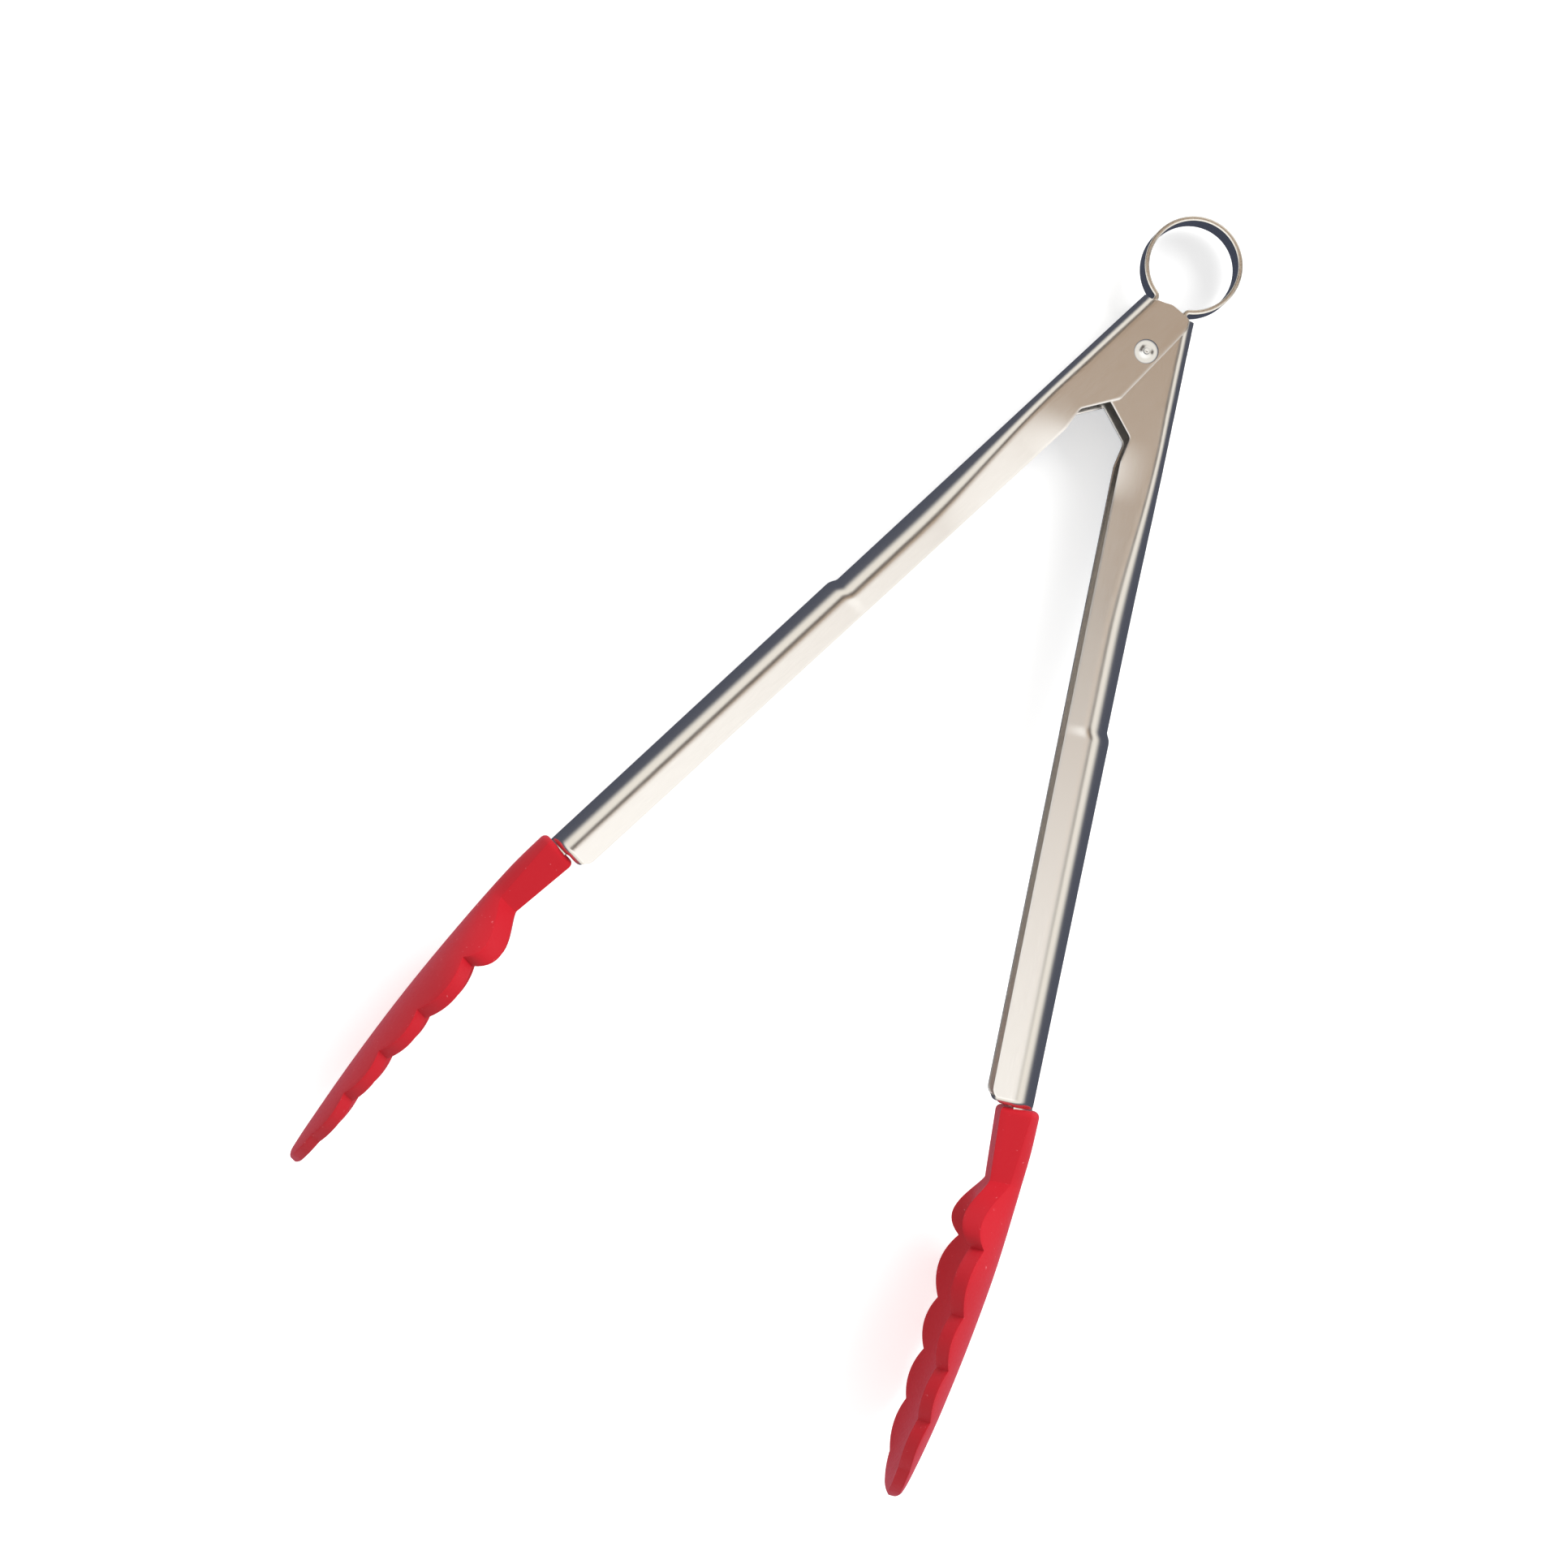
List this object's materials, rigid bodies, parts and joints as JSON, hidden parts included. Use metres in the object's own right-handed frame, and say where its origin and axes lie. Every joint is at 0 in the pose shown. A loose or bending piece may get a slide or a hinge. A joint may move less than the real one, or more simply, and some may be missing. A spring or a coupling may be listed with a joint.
{
  "type": "spring loaded kitchen tongs",
  "caption": "Kitchen tongs: pressed steel arms on a rivet, pushed apart by a ring spring that is also the hanging loop, with scalloped red silicone scoops.",
  "frame": {"origin": "middle of the box on its lowest plane, with the tongs lying open on their side", "axes": "+Z along the rivet, +Y from the scoops to the hanging ring, X the way the arms open, outer arm at -X"},
  "size_m": [0.1618, 0.295, 0.0478],
  "materials": {
    "arm_steel": "fine satin, grain along the arm",
    "ring_steel": "darker rolled spring strip, bright cut edges",
    "rivet_steel": "polished",
    "red_silicone": "matte moulded silicone with a soft sheen"
  },
  "bodies": {
    "outer_side": {"outer_arm": "arm_steel", "outer_head": "red_silicone", "pivot_rivet": "rivet_steel", "ring_spring": "ring_steel"},
    "inner_side": {"inner_arm": "arm_steel", "inner_head": "red_silicone"}
  },
  "joints": [
    {"name": "squeeze", "type": "hinge", "parent": "outer_side", "child": "inner_side", "pos_m": [0, 0.11243, 0.0239], "axis": [0, 0, -1], "range_deg": [0, 33], "stiffness_Nm_per_rad": 0.5, "springref_deg": -6.88, "deforming": ["ring_spring"]}
  ]
}
